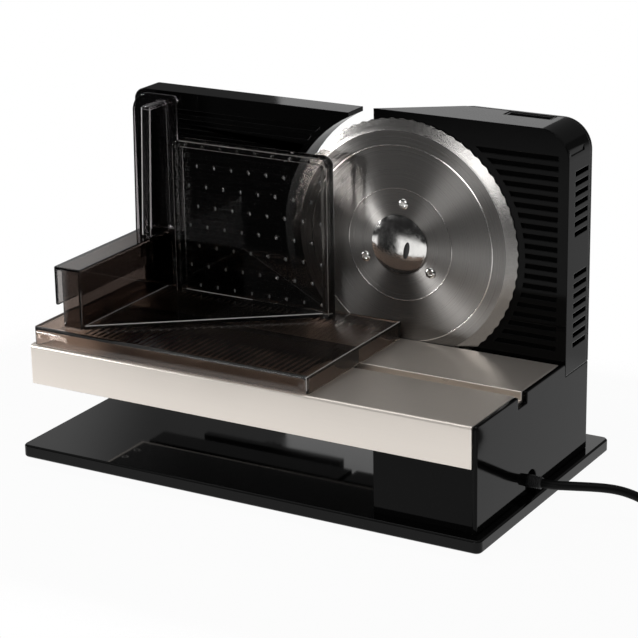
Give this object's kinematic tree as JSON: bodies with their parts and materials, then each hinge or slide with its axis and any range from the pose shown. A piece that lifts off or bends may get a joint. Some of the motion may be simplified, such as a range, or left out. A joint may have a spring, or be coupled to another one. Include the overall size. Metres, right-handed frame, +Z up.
{
  "type": "electric food slicer",
  "caption": "Electric food slicer: round blade on an upright motor housing, sliding tray with a leftover holder, stop plate set by a knob, glass base and mains cord.",
  "frame": {"origin": "on the floor, under the centre of the base plate", "axes": "+X along the table to the right, +Y to the back, away from the user, +Z up"},
  "size_m": [0.5528, 0.197, 0.241],
  "materials": {
    "black_glass": "black glass with ground and polished edges",
    "foot_rubber": "matt rubber",
    "gloss_black": "smooth gloss black plastic",
    "table_metal": "satin sheet metal",
    "inner_plastic": "matt black plastic",
    "plain_steel": "plain machined steel",
    "blade_steel": "turned and ground stainless steel",
    "bright_chrome": "polished chrome",
    "bronze": "sintered bronze and copper",
    "gear_plastic": "natural polyacetal",
    "smoky_plastic": "smoky clear plastic",
    "cord_rubber": "black cord sheath and moulded plug"
  },
  "bodies": {
    "frame": {"base_plate": "black_glass", "foot_front_left": "foot_rubber", "foot_front_right": "foot_rubber", "foot_rear_left": "foot_rubber", "foot_rear_right": "foot_rubber", "lower_housing": "gloss_black", "base_screw_1": "plain_steel", "base_screw_2": "plain_steel", "base_screw_3": "plain_steel", "base_screw_4": "plain_steel", "side_panel": "gloss_black", "table_top": "table_metal", "table_plate": "inner_plastic", "table_screw_1": "plain_steel", "table_screw_2": "plain_steel", "housing_front": "gloss_black", "housing_rear": "gloss_black", "cover_screw_1": "plain_steel", "cover_screw_2": "plain_steel", "cover_screw_3": "plain_steel", "cover_screw_4": "plain_steel", "switch_frame": "inner_plastic", "front_bearing": "bronze", "rear_bearing": "bronze", "motor_can": "plain_steel", "motor_end_cap": "inner_plastic", "worm_bush": "bronze", "run_capacitor": "inner_plastic", "terminal_block": "inner_plastic", "guide_rod_left": "plain_steel", "guide_rod_right": "plain_steel", "guide_bridge": "inner_plastic", "strain_relief": "cord_rubber", "cord_stretch": "cord_rubber", "cord_coil": "cord_rubber", "mains_plug": "cord_rubber"},
    "carriage": {"carriage_tray": "smoky_plastic", "carriage_runner": "inner_plastic", "carriage_wall": "smoky_plastic", "thumb_guard": "smoky_plastic"},
    "pusher": {"food_pusher": "smoky_plastic"},
    "stop": {"stop_plate": "gloss_black", "thickness_stud": "plain_steel"},
    "knob": {"thickness_knob": "gloss_black", "thickness_drum": "gear_plastic"},
    "cutter": {"blade": "blade_steel", "blade_carrier": "inner_plastic", "blade_screw_1": "bright_chrome", "blade_screw_2": "bright_chrome", "blade_screw_3": "bright_chrome", "blade_axle": "plain_steel", "drive_gear": "gear_plastic"},
    "lock": {"blade_lock": "bright_chrome"},
    "rotor": {"motor_shaft": "plain_steel", "worm": "plain_steel", "motor_armature": "bronze"},
    "rocker": {"switch_rocker": "gloss_black"}
  },
  "joints": [
    {"name": "carriage_slide", "type": "slide", "parent": "frame", "child": "carriage", "axis": [1, 0, 0], "range_m": [0, 0.18]},
    {"name": "pusher_slide", "type": "slide", "parent": "carriage", "child": "pusher", "axis": [0, 1, 0], "range_m": [-0.07, 0]},
    {"name": "stop_slide", "type": "slide", "parent": "frame", "child": "stop", "axis": [0, 1, 0], "range_m": [0, 0.02]},
    {"name": "knob_turn", "type": "hinge", "parent": "frame", "child": "knob", "pos_m": [-0.092, 0.092, 0.088], "axis": [0, 1, 0], "range_deg": [0, 300]},
    {"name": "blade_spin", "type": "hinge", "parent": "frame", "child": "cutter", "pos_m": [0.0483, 0.0374, 0.152], "axis": [0, 1, 0], "continuous": true},
    {"name": "lock_turn", "type": "hinge", "parent": "cutter", "child": "lock", "pos_m": [0.0483, 0.031, 0.152], "axis": [0, 1, 0], "range_deg": [0, 90]},
    {"name": "motor_spin", "type": "hinge", "parent": "frame", "child": "rotor", "pos_m": [0.0483, 0.055, 0.1162], "axis": [1, 0, 0], "continuous": true},
    {"name": "switch_rock", "type": "hinge", "parent": "frame", "child": "rocker", "pos_m": [0.127, 0.0655, 0.2335], "axis": [0, 1, 0], "range_deg": [0, 12]}
  ],
  "couplings": [
    {"joint": "knob_turn", "follows": "stop_slide", "rad_per_m": 261.8},
    {"joint": "motor_spin", "follows": "blade_spin", "ratio": 30}
  ]
}
